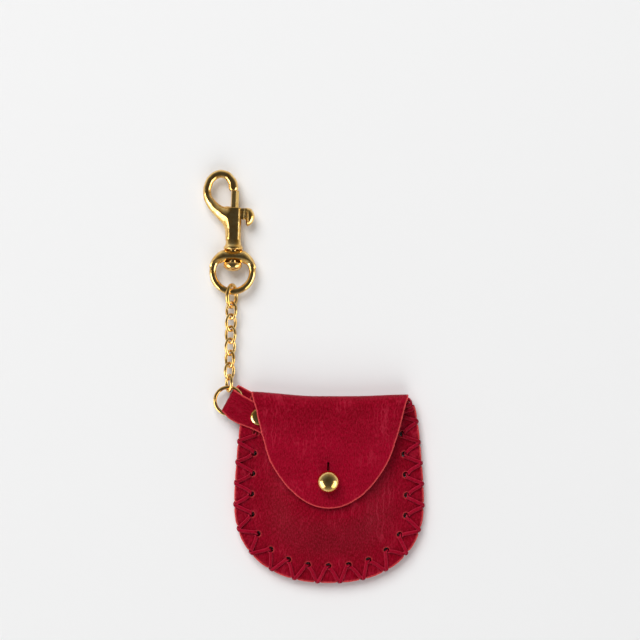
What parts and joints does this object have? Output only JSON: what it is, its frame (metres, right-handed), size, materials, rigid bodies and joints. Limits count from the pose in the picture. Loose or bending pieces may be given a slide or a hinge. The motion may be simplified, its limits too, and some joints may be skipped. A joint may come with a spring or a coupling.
{
  "type": "pouch charm",
  "caption": "Small laced leather pouch with a fold-over flap on a ball stud, hanging from a short cable chain and a swivel trigger snap hook.",
  "frame": {"origin": "middle of the flat field of the pouch's back panel, on its rear face", "axes": "+Z out of the front of the pouch, +Y from the pouch towards the snap hook, +X to the right of the pouch seen from the front"},
  "size_m": [0.0818, 0.1526, 0.0158],
  "materials": {
    "hide": "semi-matt deep red leather with a fine vertical grain",
    "thong": "flat-cut leather lace, lighter at its cut edges",
    "gilt": "polished, slightly antiqued gold plating",
    "spring_steel": "plain drawn wire"
  },
  "bodies": {
    "pouch": {"back_panel": "hide", "front_panel": "hide", "lace_forward": "thong", "lace_return": "thong", "stud_head": "gilt", "stud_screw": "gilt", "strap_loop": "hide", "strap_rivet_cap": "gilt", "strap_rivet_back": "gilt"},
    "flap": {"flap": "hide"},
    "ring": {"jump_ring": "gilt"},
    "link_8": {"chain_link_8": "gilt"},
    "link_7": {"chain_link_7": "gilt"},
    "link_6": {"chain_link_6": "gilt"},
    "link_5": {"chain_link_5": "gilt"},
    "link_4": {"chain_link_4": "gilt"},
    "link_3": {"chain_link_3": "gilt"},
    "link_2": {"chain_link_2": "gilt"},
    "connector": {"connector_link": "gilt"},
    "eye": {"swivel_eye": "gilt"},
    "snap": {"snap_hook_body": "gilt", "swivel_stem": "gilt", "bolt_spring": "spring_steel"},
    "trigger": {"trigger_bolt": "gilt"}
  },
  "joints": [
    {"name": "flap_fold", "type": "hinge", "parent": "pouch", "child": "flap", "pos_m": [0, 0.0344, 0.0056], "axis": [-1, 0, 0], "range_deg": [0, 175]},
    {"name": "ring_tip", "type": "hinge", "parent": "pouch", "child": "ring", "pos_m": [-0.03371, 0.03069, 0.0038], "axis": [0.4772, 0.8788, 0], "range_deg": [-8, 8]},
    {"name": "link_8_swing", "type": "hinge", "parent": "ring", "child": "link_8", "pos_m": [-0.03684, 0.0373, 0.0038], "axis": [0.9995, -0.0314, 0], "range_deg": [-30, 30]},
    {"name": "link_7_swing", "type": "hinge", "parent": "link_8", "child": "link_7", "pos_m": [-0.0367, 0.04172, 0.0038], "axis": [0.4998, -0.0157, 0.866], "range_deg": [-30, 30]},
    {"name": "link_6_swing", "type": "hinge", "parent": "link_7", "child": "link_6", "pos_m": [-0.03656, 0.04617, 0.0038], "axis": [0.731, -0.023, -0.682], "range_deg": [-30, 30]},
    {"name": "link_5_swing", "type": "hinge", "parent": "link_6", "child": "link_5", "pos_m": [-0.03642, 0.05062, 0.0038], "axis": [0.7428, -0.0233, 0.6691], "range_deg": [-30, 30]},
    {"name": "link_4_swing", "type": "hinge", "parent": "link_5", "child": "link_4", "pos_m": [-0.03628, 0.05506, 0.0038], "axis": [0.7657, -0.0241, -0.6428], "range_deg": [-30, 30]},
    {"name": "link_3_swing", "type": "hinge", "parent": "link_4", "child": "link_3", "pos_m": [-0.03614, 0.05951, 0.0038], "axis": [0.8476, -0.0266, 0.5299], "range_deg": [-30, 30]},
    {"name": "link_2_swing", "type": "hinge", "parent": "link_3", "child": "link_2", "pos_m": [-0.03601, 0.06396, 0.0038], "axis": [0.7876, -0.0248, -0.6157], "range_deg": [-30, 30]},
    {"name": "connector_swing", "type": "hinge", "parent": "link_2", "child": "connector", "pos_m": [-0.03587, 0.06841, 0.0038], "axis": [0.8656, -0.0272, 0.5], "range_deg": [-30, 30]},
    {"name": "eye_swing", "type": "hinge", "parent": "connector", "child": "eye", "pos_m": [-0.03567, 0.07478, 0.0038], "axis": [0.4998, -0.0157, -0.866], "range_deg": [-25, 25]},
    {"name": "snap_swivel", "type": "hinge", "parent": "eye", "child": "snap", "pos_m": [-0.03526, 0.08777, 0.0038], "axis": [0.0314, 0.9995, 0], "continuous": true},
    {"name": "trigger_slide", "type": "slide", "parent": "snap", "child": "trigger", "axis": [-0.0314, -0.9995, 0], "range_m": [0, 0.0046], "stiffness_N_per_m": 300, "deforming": ["bolt_spring"]}
  ]
}
